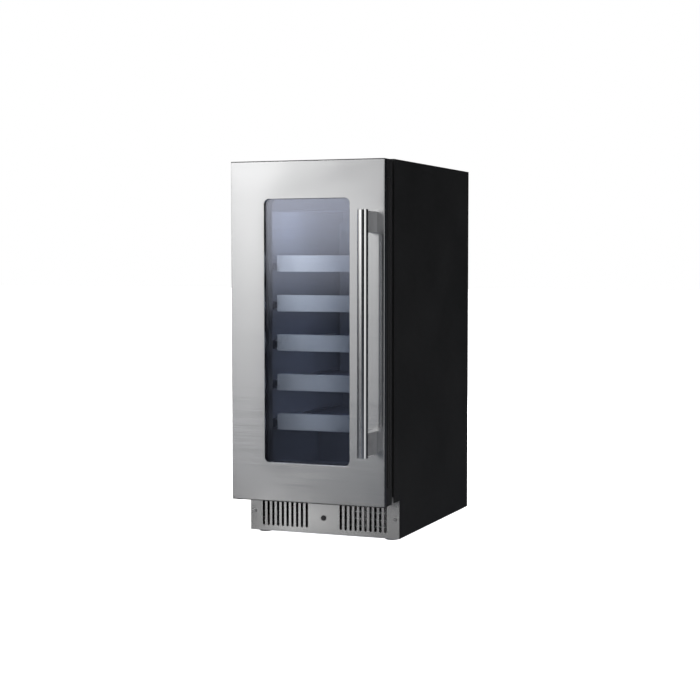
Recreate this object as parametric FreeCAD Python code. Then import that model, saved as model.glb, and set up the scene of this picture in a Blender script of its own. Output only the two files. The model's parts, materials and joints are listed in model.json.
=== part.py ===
import FreeCAD, Part
import math
import os

# A 15 inch undercounter wine cooler with a glass door, five pull-out shelves and a front-vented base.
# Millimetres. +X is to the right seen from the front, +Y runs to the back, +Z is up.
# The origin is on the floor, at the middle of the whole object's width and depth. The parts are drawn
# with the rear rim at y = REAR, and all move back by SHIFT when they are written.

V = FreeCAD.Vector

# ---- driving dimensions ---------------------------------------------------------------------
WIDTH = 375.0
HEIGHT = 870.0
DEPTH = 700.0             # from the front of the handle to the rear rim
REAR = 342.0
HANDLE_REACH = 80.0       # how far the handle stands out of the door face
DOOR_THICK = 52.0
DOOR_GAP = 12.0           # between door and cabinet, filled by the gasket
DOOR_BOTTOM = 92.0
DOOR_TOP = 868.0
CABINET_BOTTOM = 5.0
TOE_TOP = 107.0           # underside of the cabinet's front part
TOE_SETBACK = 36.0        # kick plate behind the cabinet's front
SHEET = 1.2               # cabinet steel
WINDOW_HALF = 104.5
WINDOW_BOTTOM = 181.0
WINDOW_TOP = 782.0
WINDOW_RADIUS = 12.0
INTERIOR_HALF = 139.0
INTERIOR_FLOOR = 135.0
INTERIOR_CEILING = 812.0
INTERIOR_BACK = 286.0
STEP_FRONT = 120.0        # the liner's step over the compressor
STEP_TOP = 219.0
LINER_WALL = 2.0
SHELF_COUNT = 5
SHELF_FIRST = 244.5       # bottom of the lowest shelf trim
SHELF_PITCH = 93.0

# ---- positions worked out from them ---------------------------------------------------------
HALF = WIDTH / 2
SHIFT = DEPTH / 2 - REAR
FACE = REAR - DEPTH + HANDLE_REACH
DOOR_BACK = FACE + DOOR_THICK
CAB_FRONT = DOOR_BACK + DOOR_GAP
INNER = HALF - SHEET      # inside of the cabinet's side walls
PANEL_RECESS = 2.4        # the rear panels stand this far inside the rear rim
PANEL_OUT = REAR - PANEL_RECESS
PANEL_IN = PANEL_OUT - SHEET
KICK_FACE = CAB_FRONT + TOE_SETBACK
KICK_SHEET = 1.5
KICK_BACK = KICK_FACE + KICK_SHEET
BASE_TOP = CABINET_BOTTOM + 1.5
DECK_STEP = 154.0         # rear part of the base is taller, for the compressor
DECK_HIGH = 185.0
CUT = 1.0                 # how far a cutting tool runs past the face it cuts
HINGE_X = -HALF + 12.0
HINGE_Y = FACE + DOOR_THICK / 2
PIN_R = 4.0
RUNNING = 0.05            # radial clearance of a pin in its bush
SCREW_R = 2.0
SPOUT_R = 6.0             # outside of the drain spout
FRAME_HALF = 187.0        # half width of the door behind its skin


# ---- helpers --------------------------------------------------------------------------------
def box(x0, x1, y0, y1, z0, z1):
    return Part.makeBox(x1 - x0, y1 - y0, z1 - z0, V(x0, y0, z0))


def cyl_x(x0, x1, y, z, r):
    return Part.makeCylinder(r, x1 - x0, V(x0, y, z), V(1, 0, 0))


def cyl_y(x, y0, y1, z, r):
    return Part.makeCylinder(r, y1 - y0, V(x, y0, z), V(0, 1, 0))


def cyl_z(x, y, z0, z1, r):
    return Part.makeCylinder(r, z1 - z0, V(x, y, z0), V(0, 0, 1))


def round_edges(shape, radius, wanted):
    edges = [e for e in shape.Edges if wanted(e)]
    return shape.makeFillet(radius, edges)


def runs_along(edge, axis):
    """Is the edge a straight one parallel to the axis?"""
    if edge.Curve.TypeId != "Part::GeomLine":
        return False
    return abs(abs(edge.tangentAt(edge.FirstParameter).dot(axis)) - 1) < 1e-6


def plate_y(half, y0, y1, z0, z1, radius, centre=0.0):
    """A plate facing the front, with rounded corners."""
    shape = box(centre - half, centre + half, y0, y1, z0, z1)
    return round_edges(shape, radius, lambda e: runs_along(e, V(0, 1, 0)))


def prism_x(outline, x0, x1):
    """A (y, z) outline run along X."""
    wire = Part.makePolygon([V(x0, y, z) for y, z in outline + outline[:1]])
    return Part.Face(wire).extrude(V(x1 - x0, 0, 0))


def prism_z(outline, z0, z1):
    """An (x, y) outline run along Z."""
    wire = Part.makePolygon([V(x, y, z0) for x, y in outline + outline[:1]])
    return Part.Face(wire).extrude(V(0, 0, z1 - z0))


def slot_y(x, z0, z1, width, y0, y1):
    """An upright slot with round ends, cut along Y."""
    r = width / 2
    middle = box(x - r, x + r, y0, y1, z0 + r, z1 - r)
    return middle.fuse([cyl_y(x, y0, y1, z0 + r, r), cyl_y(x, y0, y1, z1 - r, r)])


def pipe(points, r):
    """A round tube or rod through the points, with ball joints at its corners."""
    pieces = []
    for a, b in zip(points, points[1:]):
        start = V(*a)
        run = V(*b) - start
        pieces.append(Part.makeCylinder(r, run.Length, start, run))
    pieces += [Part.makeSphere(r, V(*p)) for p in points[1:-1]]
    return pieces[0].fuse(pieces[1:])


def mirrored(shape):
    return shape.mirror(V(0, 0, 0), V(1, 0, 0))


def pan_screw(x, y, z, out, length, r=SCREW_R):
    """A pan-head screw. The head stands on the plane y and points out, which is -1 or 1."""
    head_r = 1.9 * r
    head_h = 2.4
    facing = V(0, out, 0)
    head = Part.makeCylinder(head_r, head_h, V(x, y, z), facing)
    shank = Part.makeCylinder(r, length, V(x, y, z), facing * -1)
    return head.fuse(shank)


def fan(x, y0, z, count, tip_r, hub_r, bore_r):
    """An axial fan: a hub with a blind bore towards the front, and pitched blades."""
    hub_h = 11.0
    bore_h = 9.0
    blade_w = 15.0
    blade_t = 1.5
    pitch = 28.0
    hub = cyl_y(x, y0, y0 + hub_h, z, hub_r)
    middle = y0 + hub_h / 2
    blades = []
    for k in range(count):
        blade = box(x - blade_w / 2, x + blade_w / 2, middle - blade_t / 2, middle + blade_t / 2,
                    z + hub_r - 2, z + tip_r)
        blade.rotate(V(x, middle, z), V(0, 0, 1), pitch)
        blade.rotate(V(x, middle, z), V(0, 1, 0), 360.0 * k / count)
        blades.append(blade)
    whole = hub.fuse(blades)
    return whole.cut(cyl_y(x, y0 - CUT, y0 + bore_h, z, bore_r))


# ---- the places that several pieces share ----------------------------------------------------
FOOT_X = 160.0
FOOT_YS = {"front": -150.0, "rear": 305.0}
FOOT_STUD_R = 4.0
COVER_SCREW_X = 178.0
COVER_SCREW_ZS = (16.0, 179.0)
KICK_SCREW_X = 177.0
KICK_SCREW_Z = 50.0
LOCK_Z = 43.0
LOCK_BARREL_R = 5.8
LOCK_ARM = 60.0           # reach of the lock's cam from its axis
LOCK_ARM_Y = KICK_BACK + 24.8
LOCK_ARM_T = 2.0
HOOK_BOTTOM = 95.0        # the door's hook that the cam holds
HOOK_TOP = 99.0
HINGE_SCREW_X = -HALF + 7.2
LOWER_HINGE_SCREWS = (113.0, 121.0)
UPPER_HINGE_SCREWS = (846.0, 857.0)
DRAIN = (-40.0, 250.0)
INLET = (120.0, 120.0)
INLET_HALF = (14.0, 10.0)
TUBE_R = 3.0
CAN_CENTRE = (-60.0, 245.0)
CAN_R = 68.0
CAN_BOTTOM = 23.0
CAN_TOP = 163.0
COND_FAN = (85.0, 55.0)
EVAP_FAN_Z = 650.0
EVAP_COVER_FRONT = 236.0
SHAFT_R = 2.5
COIL_ROWS = (-132.0, -116.0)
COIL_ZS = (22.0, 38.5, 55.0, 71.5, 88.0)
COIL_STUB = 8.0
PLATE_BACK = 272.0
PLATE_T = 2.0
SERPENTINE_R = 4.0
SERPENTINE_BACK = PLATE_BACK - PLATE_T + SERPENTINE_R
FASCIA = -165.0           # front of the control housing
FASCIA_WALL = 2.5
BUTTON_Z = 797.0
BUTTONS = {"button_power": 52.0, "button_warmer": 74.0, "button_cooler": 96.0}
BUTTON_R = 5.0
BOARD_FRONT = FASCIA + 13.0
TRIM_HALF = 123.0
TRIM_HEIGHT = 38.5
TRIM_FRONT = FACE + 110.0
TRIM_BACK = TRIM_FRONT + 16.0
SLIDE_BACK = 222.0
BAR_X = 162.5
BAR_R = 12.0
BAR_Y = FACE - HANDLE_REACH + BAR_R
BAR_BOTTOM = 210.5
BAR_TOP = 754.0
BRACKET_HALF = 8.0
BRACKETS = ((214.0, 264.0), (704.0, 750.5))
SKIN = 1.0
SKIN_RETURN = 15.0        # how far the stainless skin wraps round the door's sides
CAP = 42.0                # height of the door's end caps
CAP_LIP = 2.0             # what shows of them above and below the skin
FRAME_BACK = DOOR_BACK - 7.0
WINDOW_LIP = 5.0          # the skin turns in round the window, as deep as this
GLASS_T = 4.0
GLASS_GAP = 12.0
GLASS_MARGIN = 11.5       # how far the panes run behind the skin
GLASS_CORNER = 6.0
GLASS_FRONT = FACE + WINDOW_LIP
GLASS_BACK = GLASS_FRONT + 2 * GLASS_T + GLASS_GAP
BUSH_R = 7.0
BUSH_H = 20.0
HINGE_PLATE = 2.6
HINGE_RECESS = 866.0      # floor of the pocket that clears the upper hinge plate
LOWER_PLATE_Z = DOOR_BOTTOM - 0.4 - HINGE_PLATE
UPPER_PLATE_Z = HINGE_RECESS + 0.4
GROMMETS = [(CAN_CENTRE[0] + sx * 72.0, CAN_CENTRE[1] + sy * 38.0) for sx in (-1, 1) for sy in (-1, 1)]
GROMMET_NECK_R = 5.9
FAN_PLATE_Y = -98.0
MOTOR_R = 15.0
SLIDE_MID = 14.0          # centre of the slides above the bottom of the trim
CHANNEL_HALF = 10.0

TUBE_RUNS = (
    # hot gas, from compressor to condenser
    ((-60.0, 200.0, 60.0), (-60.0, 150.0, 60.0), (-30.0, 150.0, 60.0), (-30.0, 150.0, 88.0),
     (-30.0, COIL_ROWS[0], 88.0), (COIL_STUB, COIL_ROWS[0], 88.0)),
    # liquid, from condenser through the drier to the evaporator
    ((COIL_STUB, COIL_ROWS[1], 88.0), (-15.0, COIL_ROWS[1], 88.0), (-15.0, COIL_ROWS[1], 40.0),
     (-15.0, 120.0, 40.0), (60.0, 120.0, 40.0), (60.0, 313.0, 40.0), (60.0, 313.0, 396.0),
     (60.0, SERPENTINE_BACK, 396.0)),
    # suction, from evaporator back to the compressor
    ((80.0, SERPENTINE_BACK, 432.0), (80.0, 313.0, 432.0), (80.0, 313.0, 130.0), (80.0, 290.0, 130.0),
     (-20.0, 290.0, 130.0)),
)


def tube_channels():
    """Clearance round the two tubes that pass through the deck, the foam and the liner."""
    clearance = 1.5
    return [pipe(run, TUBE_R + clearance) for run in TUBE_RUNS[1:]]


def drain_cut(r):
    return cyl_z(*DRAIN, CAN_TOP + 7, STEP_TOP + CUT, r)


# ---- cabinet --------------------------------------------------------------------------------
def liner_outline(grow):
    """The liner's (y, z) outline: its inside, or its outside with grow as the wall."""
    front = CAB_FRONT - (0 if grow else CUT)
    return [
        (front, INTERIOR_FLOOR - grow),
        (STEP_FRONT + grow, INTERIOR_FLOOR - grow),
        (STEP_FRONT + grow, STEP_TOP - grow),
        (INTERIOR_BACK + grow, STEP_TOP - grow),
        (INTERIOR_BACK + grow, INTERIOR_CEILING + grow),
        (front, INTERIOR_CEILING + grow),
    ]


def liner_block():
    half = INTERIOR_HALF + LINER_WALL
    return prism_x(liner_outline(LINER_WALL), -half, half)


def inner_liner():
    wall = 2.0
    shell = liner_block().cut(prism_x(liner_outline(0), -INTERIOR_HALF, INTERIOR_HALF))
    spout = cyl_z(*DRAIN, CAN_TOP + 7, STEP_TOP - LINER_WALL, SPOUT_R)
    shell = shell.fuse(spout).cut(drain_cut(SPOUT_R - wall))
    return shell.cut(tube_channels())


def cabinet_wrapper():
    """Both sides, the top and the flange that the gasket closes on, with the toe space cut out."""
    shell = box(-HALF, HALF, CAB_FRONT, REAR, CABINET_BOTTOM, HEIGHT)
    shell = round_edges(shell, 1.0, lambda e: runs_along(e, V(0, 1, 0)) and e.CenterOfMass.z > HEIGHT / 2)
    hollow = box(-INNER, INNER, CAB_FRONT + SHEET, REAR + CUT, CABINET_BOTTOM - CUT, HEIGHT - SHEET)
    half = INTERIOR_HALF + LINER_WALL
    mouth = box(-half, half, CAB_FRONT - CUT, CAB_FRONT + 2 * SHEET,
                INTERIOR_FLOOR - LINER_WALL, INTERIOR_CEILING + LINER_WALL)
    toe = box(-HALF - CUT, HALF + CUT, CAB_FRONT - CUT, KICK_BACK, CABINET_BOTTOM - CUT, TOE_TOP)
    tapped = [cyl_y(HINGE_SCREW_X, CAB_FRONT - CUT, CAB_FRONT + 2 * SHEET, z, SCREW_R)
              for z in LOWER_HINGE_SCREWS + UPPER_HINGE_SCREWS]
    return shell.cut([hollow, mouth, toe] + tapped)


def bottom_deck():
    """The sheet under the foam, stepped up over the compressor, with a lip for the rear cover."""
    low = TOE_TOP
    front = CAB_FRONT + SHEET
    lip_bottom = 172.0
    outline = [
        (front, low), (DECK_STEP, low), (DECK_STEP, DECK_HIGH), (PANEL_IN - SHEET, DECK_HIGH),
        (PANEL_IN - SHEET, lip_bottom), (PANEL_IN, lip_bottom), (PANEL_IN, DECK_HIGH + SHEET),
        (DECK_STEP - SHEET, DECK_HIGH + SHEET), (DECK_STEP - SHEET, low + SHEET), (front, low + SHEET),
    ]
    deck = prism_x(outline, -INNER, INNER)
    holes = [cyl_y(s * COVER_SCREW_X, PANEL_IN - 2 * SHEET, PANEL_IN + CUT, COVER_SCREW_ZS[1], SCREW_R)
             for s in (-1, 1)]
    return deck.cut(tube_channels() + [drain_cut(SPOUT_R)] + holes)


def foam_insulation():
    front = CAB_FRONT + SHEET
    low = TOE_TOP + SHEET
    high = DECK_HIGH + SHEET
    step = DECK_STEP - SHEET
    outline = [(front, low), (step, low), (step, high), (PANEL_IN, high),
               (PANEL_IN, HEIGHT - SHEET), (front, HEIGHT - SHEET)]
    block = prism_x(outline, -INNER, INNER)
    screw_room = [box(HINGE_SCREW_X - 4, HINGE_SCREW_X + 4, front - CUT, front + 12, zs[0] - 4, zs[1] + 4)
                  for zs in (LOWER_HINGE_SCREWS, UPPER_HINGE_SCREWS)]
    return block.cut([liner_block(), drain_cut(SPOUT_R)] + tube_channels() + screw_room)


def rear_panel():
    return box(-INNER, INNER, PANEL_IN, PANEL_OUT, DECK_HIGH, HEIGHT - SHEET)


def rear_cover():
    """The lower rear cover, with two rows of vents and an opening for the power inlet."""
    cover = box(-INNER, INNER, PANEL_IN, PANEL_OUT, BASE_TOP, DECK_HIGH)
    front, back = PANEL_IN - CUT, PANEL_OUT + CUT
    vent_w, vent_h, vent_pitch, first = 5.0, 40.0, 14.0, -154.0
    inlet_room = 35.0
    vents = []
    for bottom in (45.0, 105.0):
        for k in range(18):
            x = first + vent_pitch * k
            if x < INLET[0] - inlet_room:
                vents.append(slot_y(x, bottom, bottom + vent_h, vent_w, front, back))
    holes = [cyl_y(s * COVER_SCREW_X, front, back, z, SCREW_R + 0.3)
             for s in (-1, 1) for z in COVER_SCREW_ZS]
    half_w, half_h = INLET_HALF
    inlet = box(INLET[0] - half_w, INLET[0] + half_w, front, back, INLET[1] - half_h, INLET[1] + half_h)
    return cover.cut(vents + holes + [inlet])


def base_pan():
    """The base sheet with turned-up edges, tabs for the kick plate and threaded bosses for the feet."""
    flange = 18.5
    boss_r, boss_h = 9.0, 12.0
    tab_in, tab_top = 165.0, 100.0
    top = BASE_TOP + flange
    floor = box(-INNER, INNER, KICK_BACK, PANEL_IN, CABINET_BOTTOM, BASE_TOP)
    side = box(INNER - SHEET, INNER, KICK_BACK, PANEL_IN, BASE_TOP, top)
    tab = box(tab_in, INNER, KICK_BACK, KICK_BACK + SHEET, BASE_TOP, tab_top)
    rear = box(-INNER, INNER, PANEL_IN - SHEET, PANEL_IN, BASE_TOP, top)
    bosses, holes = [], []
    for s in (-1, 1):
        for y in FOOT_YS.values():
            bosses.append(cyl_z(s * FOOT_X, y, BASE_TOP - 0.5, BASE_TOP + boss_h, boss_r))
            holes.append(cyl_z(s * FOOT_X, y, CABINET_BOTTOM - CUT, BASE_TOP + boss_h + CUT,
                               FOOT_STUD_R + RUNNING))
        holes.append(cyl_y(s * KICK_SCREW_X, KICK_BACK - CUT, KICK_BACK + 2 * SHEET, KICK_SCREW_Z, SCREW_R))
        holes.append(cyl_y(s * COVER_SCREW_X, PANEL_IN - 2 * SHEET, PANEL_IN + CUT, COVER_SCREW_ZS[0],
                           SCREW_R))
    pan = floor.fuse([side, mirrored(side), tab, mirrored(tab), rear] + bosses)
    return pan.cut(holes)


def foot(side, y):
    """A levelling foot: a round pad on a threaded stud, wound right in."""
    pad_r, pad_h, stud_top = 16.0, 4.8, 42.0
    x = side * FOOT_X
    pad = cyl_z(x, y, 0, pad_h, pad_r)
    pad = round_edges(pad, 1.0, lambda e: e.CenterOfMass.z > pad_h / 2 and e.Closed)
    return pad.fuse(cyl_z(x, y, pad_h, stud_top, FOOT_STUD_R))


def kick_plate():
    """The stainless toe plate: two groups of ten air slots, the lock's hole and a gap for the hook."""
    slot_w, slot_bottom, slot_top = 6.0, 17.5, 95.0
    first, last, count = 43.0, 153.5, 10
    front, back = KICK_FACE - CUT, KICK_BACK + CUT
    plate = box(-HALF, HALF, KICK_FACE, KICK_BACK, CABINET_BOTTOM, TOE_TOP)
    pitch = (last - first) / (count - 1)
    slots = [slot_y(s * (first + pitch * k), slot_bottom, slot_top, slot_w, front, back)
             for s in (-1, 1) for k in range(count)]
    holes = [cyl_y(s * KICK_SCREW_X, front, back, KICK_SCREW_Z, SCREW_R + 0.3) for s in (-1, 1)]
    lock_hole = cyl_y(0, front, back, LOCK_Z, LOCK_BARREL_R + 0.1)
    hook_gap = box(-15.0, 36.0, front, back, DOOR_BOTTOM, TOE_TOP + CUT)
    return plate.cut(slots + holes + [lock_hole, hook_gap])


def cabinet_screws():
    """The pan-head screws of the kick plate, the rear cover and the two hinge brackets."""
    length, short = 10.0, 6.0
    kick = [pan_screw(s * KICK_SCREW_X, KICK_FACE, KICK_SCREW_Z, -1, length) for s in (-1, 1)]
    rear = [pan_screw(s * COVER_SCREW_X, PANEL_OUT, z, 1, short) for s in (-1, 1) for z in COVER_SCREW_ZS]
    hinge = [pan_screw(HINGE_SCREW_X, CAB_FRONT - HINGE_PLATE, z, -1, length)
             for z in LOWER_HINGE_SCREWS + UPPER_HINGE_SCREWS]
    return kick + rear + hinge


def hinge_bracket(plate_z, tab_z0, tab_z1, pin_z0, pin_z1, screws):
    """A folded plate: a tab on the cabinet's flange, an arm over or under the door, and the pin."""
    arm_half = 12.0
    x0, x1 = HINGE_X - arm_half, HINGE_X + arm_half
    tab_right = -173.0
    arm = box(x0, x1, HINGE_Y, CAB_FRONT, plate_z, plate_z + HINGE_PLATE)
    nose = cyl_z(HINGE_X, HINGE_Y, plate_z, plate_z + HINGE_PLATE, arm_half)
    tab = box(-HALF, tab_right, CAB_FRONT - HINGE_PLATE, CAB_FRONT, tab_z0, tab_z1)
    pin = cyl_z(HINGE_X, HINGE_Y, pin_z0, pin_z1, PIN_R)
    whole = arm.fuse([nose, tab, pin])
    holes = [cyl_y(HINGE_SCREW_X, CAB_FRONT - 2 * HINGE_PLATE, CAB_FRONT + CUT, z, SCREW_R)
             for z in screws]
    return whole.cut(holes)


def lower_hinge_bracket():
    pin_top = DOOR_BOTTOM + 17.0
    return hinge_bracket(LOWER_PLATE_Z, LOWER_PLATE_Z, 127.0, LOWER_PLATE_Z, pin_top, LOWER_HINGE_SCREWS)


def upper_hinge_bracket():
    pin_bottom = HINGE_RECESS - 17.0
    top = UPPER_PLATE_Z + HINGE_PLATE
    return hinge_bracket(UPPER_PLATE_Z, 840.0, top, pin_bottom, top, UPPER_HINGE_SCREWS)


# ---- lock -----------------------------------------------------------------------------------
def lock_housing():
    """The lock's barrel with its front rim, and the nut behind the kick plate."""
    rim_r, rim_t, nut_r, nut_t = 6.5, 1.5, 9.0, 3.0
    barrel_end = LOCK_ARM_Y - 0.4
    barrel = cyl_y(0, KICK_FACE, barrel_end, LOCK_Z, LOCK_BARREL_R)
    rim = cyl_y(0, KICK_FACE - rim_t, KICK_FACE, LOCK_Z, rim_r)
    nut = cyl_y(0, KICK_BACK, KICK_BACK + nut_t, LOCK_Z, nut_r)
    bore = cyl_y(0, KICK_FACE - 2 * rim_t, barrel_end + CUT, LOCK_Z, PIN_R + 0.6)
    return barrel.fuse([rim, nut]).cut(bore)


def lock_core():
    """The key plug with its keyway, and the cam that swings up into the door's hook."""
    plug_r = PIN_R + 0.6 - RUNNING
    front = KICK_FACE - 1.7
    arm_half = 4.5
    plug = cyl_y(0, front, LOCK_ARM_Y + LOCK_ARM_T, LOCK_Z, plug_r)
    y0, y1 = LOCK_ARM_Y, LOCK_ARM_Y + LOCK_ARM_T
    arm = box(0, LOCK_ARM - arm_half, y0, y1, LOCK_Z - arm_half, LOCK_Z + arm_half)
    tip = cyl_y(LOCK_ARM - arm_half, y0, y1, LOCK_Z, arm_half)
    keyway = box(-0.8, 0.8, front - CUT, front + 10, LOCK_Z - 2.8, LOCK_Z + 2.8)
    return plug.fuse([arm, tip]).cut(keyway)


# ---- machine compartment --------------------------------------------------------------------
def can_cylinder():
    return cyl_z(*CAN_CENTRE, CAN_BOTTOM, CAN_TOP, CAN_R)


def compressor_shell():
    """The welded can on its mounting plate."""
    plate_t = 3.0
    x, y = CAN_CENTRE
    can = round_edges(can_cylinder(), 20.0, lambda e: e.Closed)
    plate = box(x - 84, x + 84, y - 50, y + 50, CAN_BOTTOM - plate_t, CAN_BOTTOM)
    plate = round_edges(plate, 10.0, lambda e: runs_along(e, V(0, 0, 1)))
    holes = [cyl_z(gx, gy, CAN_BOTTOM - plate_t - CUT, CAN_BOTTOM + CUT, GROMMET_NECK_R + 0.1)
             for gx, gy in GROMMETS]
    return can.fuse(plate).cut(holes)


def compressor_grommets():
    """Rubber feet with a neck that snaps into the compressor's plate."""
    plate_bottom = CAN_BOTTOM - 3.0
    base_r, collar_r, collar_h, bore_r = 10.0, 9.0, 4.0, 3.0
    grommets = []
    for x, y in GROMMETS:
        base = cyl_z(x, y, BASE_TOP, plate_bottom, base_r)
        neck = cyl_z(x, y, plate_bottom, CAN_BOTTOM, GROMMET_NECK_R)
        collar = cyl_z(x, y, CAN_BOTTOM, CAN_BOTTOM + collar_h, collar_r)
        bore = cyl_z(x, y, BASE_TOP - CUT, CAN_BOTTOM + collar_h + CUT, bore_r)
        grommets.append(base.fuse([neck, collar]).cut(bore))
    return grommets


def condenser_coil():
    """A serpentine tube in two rows through a stack of fins."""
    x0, x1 = 20.0, 150.0
    bend = 8.0
    fins, fin_t = 14, 0.8
    y0, y1 = COIL_ROWS[0] - 8, COIL_ROWS[1] + 8
    rows = [(COIL_ROWS[0], COIL_ZS[::-1]), (COIL_ROWS[1], COIL_ZS)]
    points = [(COIL_STUB, COIL_ROWS[0], COIL_ZS[-1])]
    right = True
    for y, zs in rows:
        for z in zs:
            ends = (x0 - bend, x1 + bend) if right else (x1 + bend, x0 - bend)
            points += [(ends[0], y, z), (ends[1], y, z)]
            right = not right
    points[1:2] = []
    points[-1] = (COIL_STUB, COIL_ROWS[1], COIL_ZS[-1])
    tube = pipe(points, 3.2)
    pitch = (x1 - x0) / (fins - 1)
    plates = [box(x0 + pitch * k - fin_t / 2, x0 + pitch * k + fin_t / 2, y0, y1, 12.0, 98.0)
              for k in range(fins)]
    return tube.fuse(plates)


def condenser_fan_bracket():
    """A plate with a round throat, and three arms that hold the motor's ring."""
    x, z = COND_FAN
    throat = 41.0
    t = 1.5
    plate = box(x - 55, x + 55, FAN_PLATE_Y, FAN_PLATE_Y + t, BASE_TOP, 104.0)
    plate = plate.cut(cyl_y(x, FAN_PLATE_Y - CUT, FAN_PLATE_Y + t + CUT, z, throat))
    ring = cyl_y(x, FAN_PLATE_Y - 6, FAN_PLATE_Y + t, z, MOTOR_R + 3)
    arms = []
    for k in range(3):
        arm = box(x - 3, x + 3, FAN_PLATE_Y, FAN_PLATE_Y + t, z + MOTOR_R + 1, z + throat + 2)
        arm.rotate(V(x, FAN_PLATE_Y, z), V(0, 1, 0), 120.0 * k)
        arms.append(arm)
    bore = cyl_y(x, FAN_PLATE_Y - 10, FAN_PLATE_Y + 10, z, MOTOR_R)
    return plate.fuse([ring] + arms).cut(bore)


def condenser_fan_motor():
    x, z = COND_FAN
    can = cyl_y(x, FAN_PLATE_Y - 8, FAN_PLATE_Y + 8, z, MOTOR_R)
    return can.fuse(cyl_y(x, FAN_PLATE_Y + 8, FAN_PLATE_Y + 18, z, SHAFT_R))


def condenser_fan_blades():
    x, z = COND_FAN
    return fan(x, FAN_PLATE_Y + 10, z, 5, 38.0, 12.0, SHAFT_R + RUNNING)


def drip_tray():
    """The pan on top of the compressor that the drain empties into."""
    wall = 1.5
    x, y = CAN_CENTRE
    x0, x1, y0, y1 = x - 65, x + 65, y - 65, y + 65
    top = CAN_TOP + 15
    outer = round_edges(box(x0, x1, y0, y1, CAN_TOP, top), 8.0, lambda e: runs_along(e, V(0, 0, 1)))
    hollow = box(x0 + wall, x1 - wall, y0 + wall, y1 - wall, CAN_TOP + wall, top + CUT)
    return outer.cut(round_edges(hollow, 6.5, lambda e: runs_along(e, V(0, 0, 1))))


def refrigerant_tubes():
    """The copper lines, with the drier in the liquid line."""
    drier_y0, drier_y1, drier_r = 0.0, 90.0, 10.0
    lines = [pipe(run, TUBE_R) for run in TUBE_RUNS]
    lines[1] = lines[1].fuse(cyl_y(-15.0, drier_y0, drier_y1, 40.0, drier_r))
    return [line.cut(can_cylinder()) for line in lines]


def electrical_box():
    """The relay and overload box on the compressor's side."""
    x, y = CAN_CENTRE
    return box(x + 60, x + 100, y - 20, y + 20, 60.0, 110.0).cut(can_cylinder())


def power_inlet():
    """A three-pin appliance inlet, facing the back."""
    x, z = INLET
    half_w, half_h = INLET_HALF
    socket_y = REAR - 16.0
    body = box(x - half_w, x + half_w, socket_y - 10, PANEL_OUT, z - half_h, z + half_h)
    rim = plate_y(half_w + 6, PANEL_OUT, REAR, z - half_h - 3, z + half_h + 3, 3.0, x)
    well = box(x - half_w + 2, x + half_w - 2, socket_y, REAR + CUT, z - half_h + 2, z + half_h - 2)
    pins = [box(x + dx - 1, x + dx + 1, socket_y - CUT, REAR - 4, z + dz - 2, z + dz + 2)
            for dx, dz in ((-7, 2), (0, 4), (7, 2))]
    return body.fuse(rim).cut(well).fuse(pins)


# ---- cold side ------------------------------------------------------------------------------
def evaporator_plate():
    """A cold plate with its serpentine, on four stand-offs from the liner."""
    half, bottom, top, passes = 105.0, 340.0, 560.0, 6
    front = PLATE_BACK - PLATE_T
    plate = box(-half, half, front, PLATE_BACK, bottom, top)
    run = half - 15
    step = (top - bottom - 40) / (passes - 1)
    points = []
    for k in range(passes):
        side = 1 if k % 2 else -1
        z = bottom + 20 + step * k
        points += [(side * -run, front, z), (side * run, front, z)]
    posts = [cyl_y(sx * (half - 8), PLATE_BACK, INTERIOR_BACK, z, 4.0)
             for sx in (-1, 1) for z in (bottom + 10, top - 10)]
    return plate.fuse([pipe(points, SERPENTINE_R)] + posts)


def evaporator_cover():
    """The cover over the cold plate, with the fan's grille above and return slots below."""
    half, bottom, top, wall = 130.0, 300.0, 740.0, 2.0
    front = EVAP_COVER_FRONT
    throat = 41.0
    shell = box(-half, half, front, INTERIOR_BACK, bottom, top)
    shell = round_edges(shell, 6.0, lambda e: runs_along(e, V(0, 0, 1)) and e.CenterOfMass.y < front + 1)
    shell = shell.cut(box(-half + wall, half - wall, front + wall, INTERIOR_BACK + CUT,
                          bottom + wall, top - wall))
    shell = shell.cut(cyl_y(0, front - CUT, front + wall + CUT, EVAP_FAN_Z, throat))
    rings = [cyl_y(0, front, front + wall, EVAP_FAN_Z, r).cut(
             cyl_y(0, front - CUT, front + wall + CUT, EVAP_FAN_Z, r - 2)) for r in (14.0, 23.0, 32.0)]
    bars = [box(-throat - 1, throat + 1, front, front + wall, EVAP_FAN_Z - 1, EVAP_FAN_Z + 1),
            box(-1, 1, front, front + wall, EVAP_FAN_Z - throat - 1, EVAP_FAN_Z + throat + 1)]
    slots = [slot_y(-105.0 + 14.0 * k, 312.0, 345.0, 6.0, front - CUT, front + wall + CUT)
             for k in range(16)]
    return shell.fuse(rings + bars).cut(slots)


def evaporator_fan_motor():
    back = INTERIOR_BACK
    can = cyl_y(0, EVAP_COVER_FRONT + 20, back, EVAP_FAN_Z, MOTOR_R)
    return can.fuse(cyl_y(0, EVAP_COVER_FRONT + 9, EVAP_COVER_FRONT + 20, EVAP_FAN_Z, SHAFT_R))


def evaporator_fan_blades():
    """The bore faces the back here, so the fan is turned about its own middle."""
    y0 = EVAP_COVER_FRONT + 7
    blades = fan(0, y0, EVAP_FAN_Z, 5, 38.0, 11.0, SHAFT_R + RUNNING)
    blades.rotate(V(0, y0 + 5.5, EVAP_FAN_Z), V(0, 0, 1), 180)
    return blades


def light_strip():
    return plate_y(100.0, -50.0, -38.0, INTERIOR_CEILING - 8, INTERIOR_CEILING, 1.5)


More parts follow.
